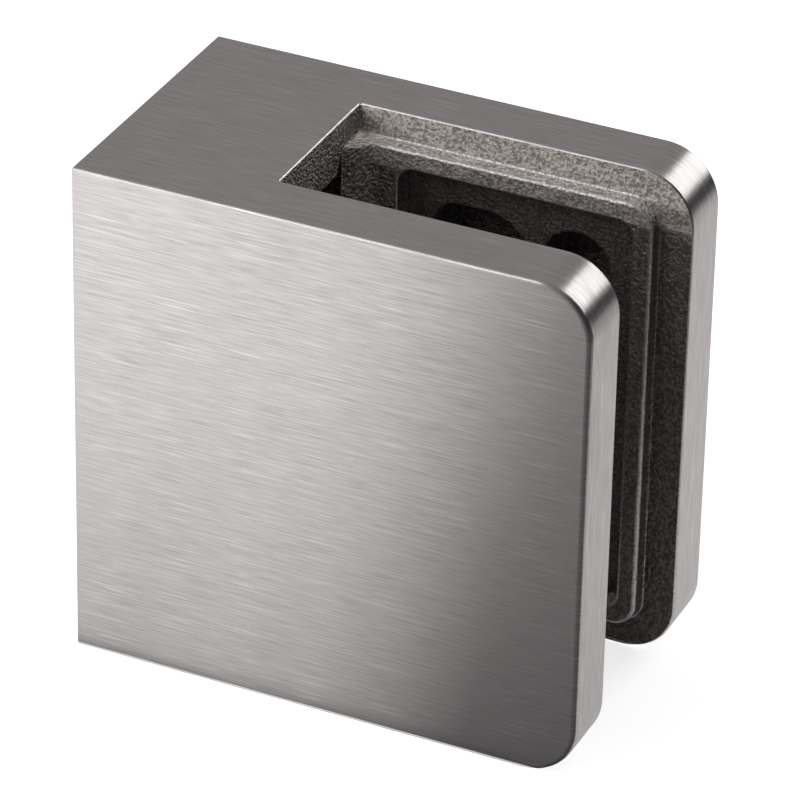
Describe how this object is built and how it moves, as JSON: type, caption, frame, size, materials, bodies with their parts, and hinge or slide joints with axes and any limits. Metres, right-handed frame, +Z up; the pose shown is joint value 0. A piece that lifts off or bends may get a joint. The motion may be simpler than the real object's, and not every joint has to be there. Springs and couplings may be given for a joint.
{
  "type": "glass panel clamp",
  "caption": "Square cast glass panel clamp with a flat threaded back, an open glass slot between thick jaws, framed jaw faces and hexagon-socket set screws in the rear jaw.",
  "frame": {"origin": "centre of the flat back face, at the mouth of the post thread", "axes": "+X from the post face towards the glass, +Y across the jaws from the front jaw to the rear jaw that holds the set screws, +Z up along the glass edge"},
  "size_m": [0.045, 0.026, 0.045],
  "materials": {
    "body_steel": "cast stainless steel, outside faces brushed along the length, slot and jaw faces left as cast",
    "screw_steel": "plain machined stainless steel"
  },
  "bodies": {
    "clamp": {"clamp_body": "body_steel"},
    "post_side_screw": {"set_screw_post_side": "screw_steel"},
    "glass_side_screw": {"set_screw_glass_side": "screw_steel"}
  },
  "joints": [
    {"name": "post_side_screw_advance", "type": "slide", "parent": "clamp", "child": "post_side_screw", "axis": [0, -1, 0], "range_m": [-0.0004, 0.0024]},
    {"name": "glass_side_screw_advance", "type": "slide", "parent": "clamp", "child": "glass_side_screw", "axis": [0, -1, 0], "range_m": [-0.0004, 0.0024]}
  ]
}
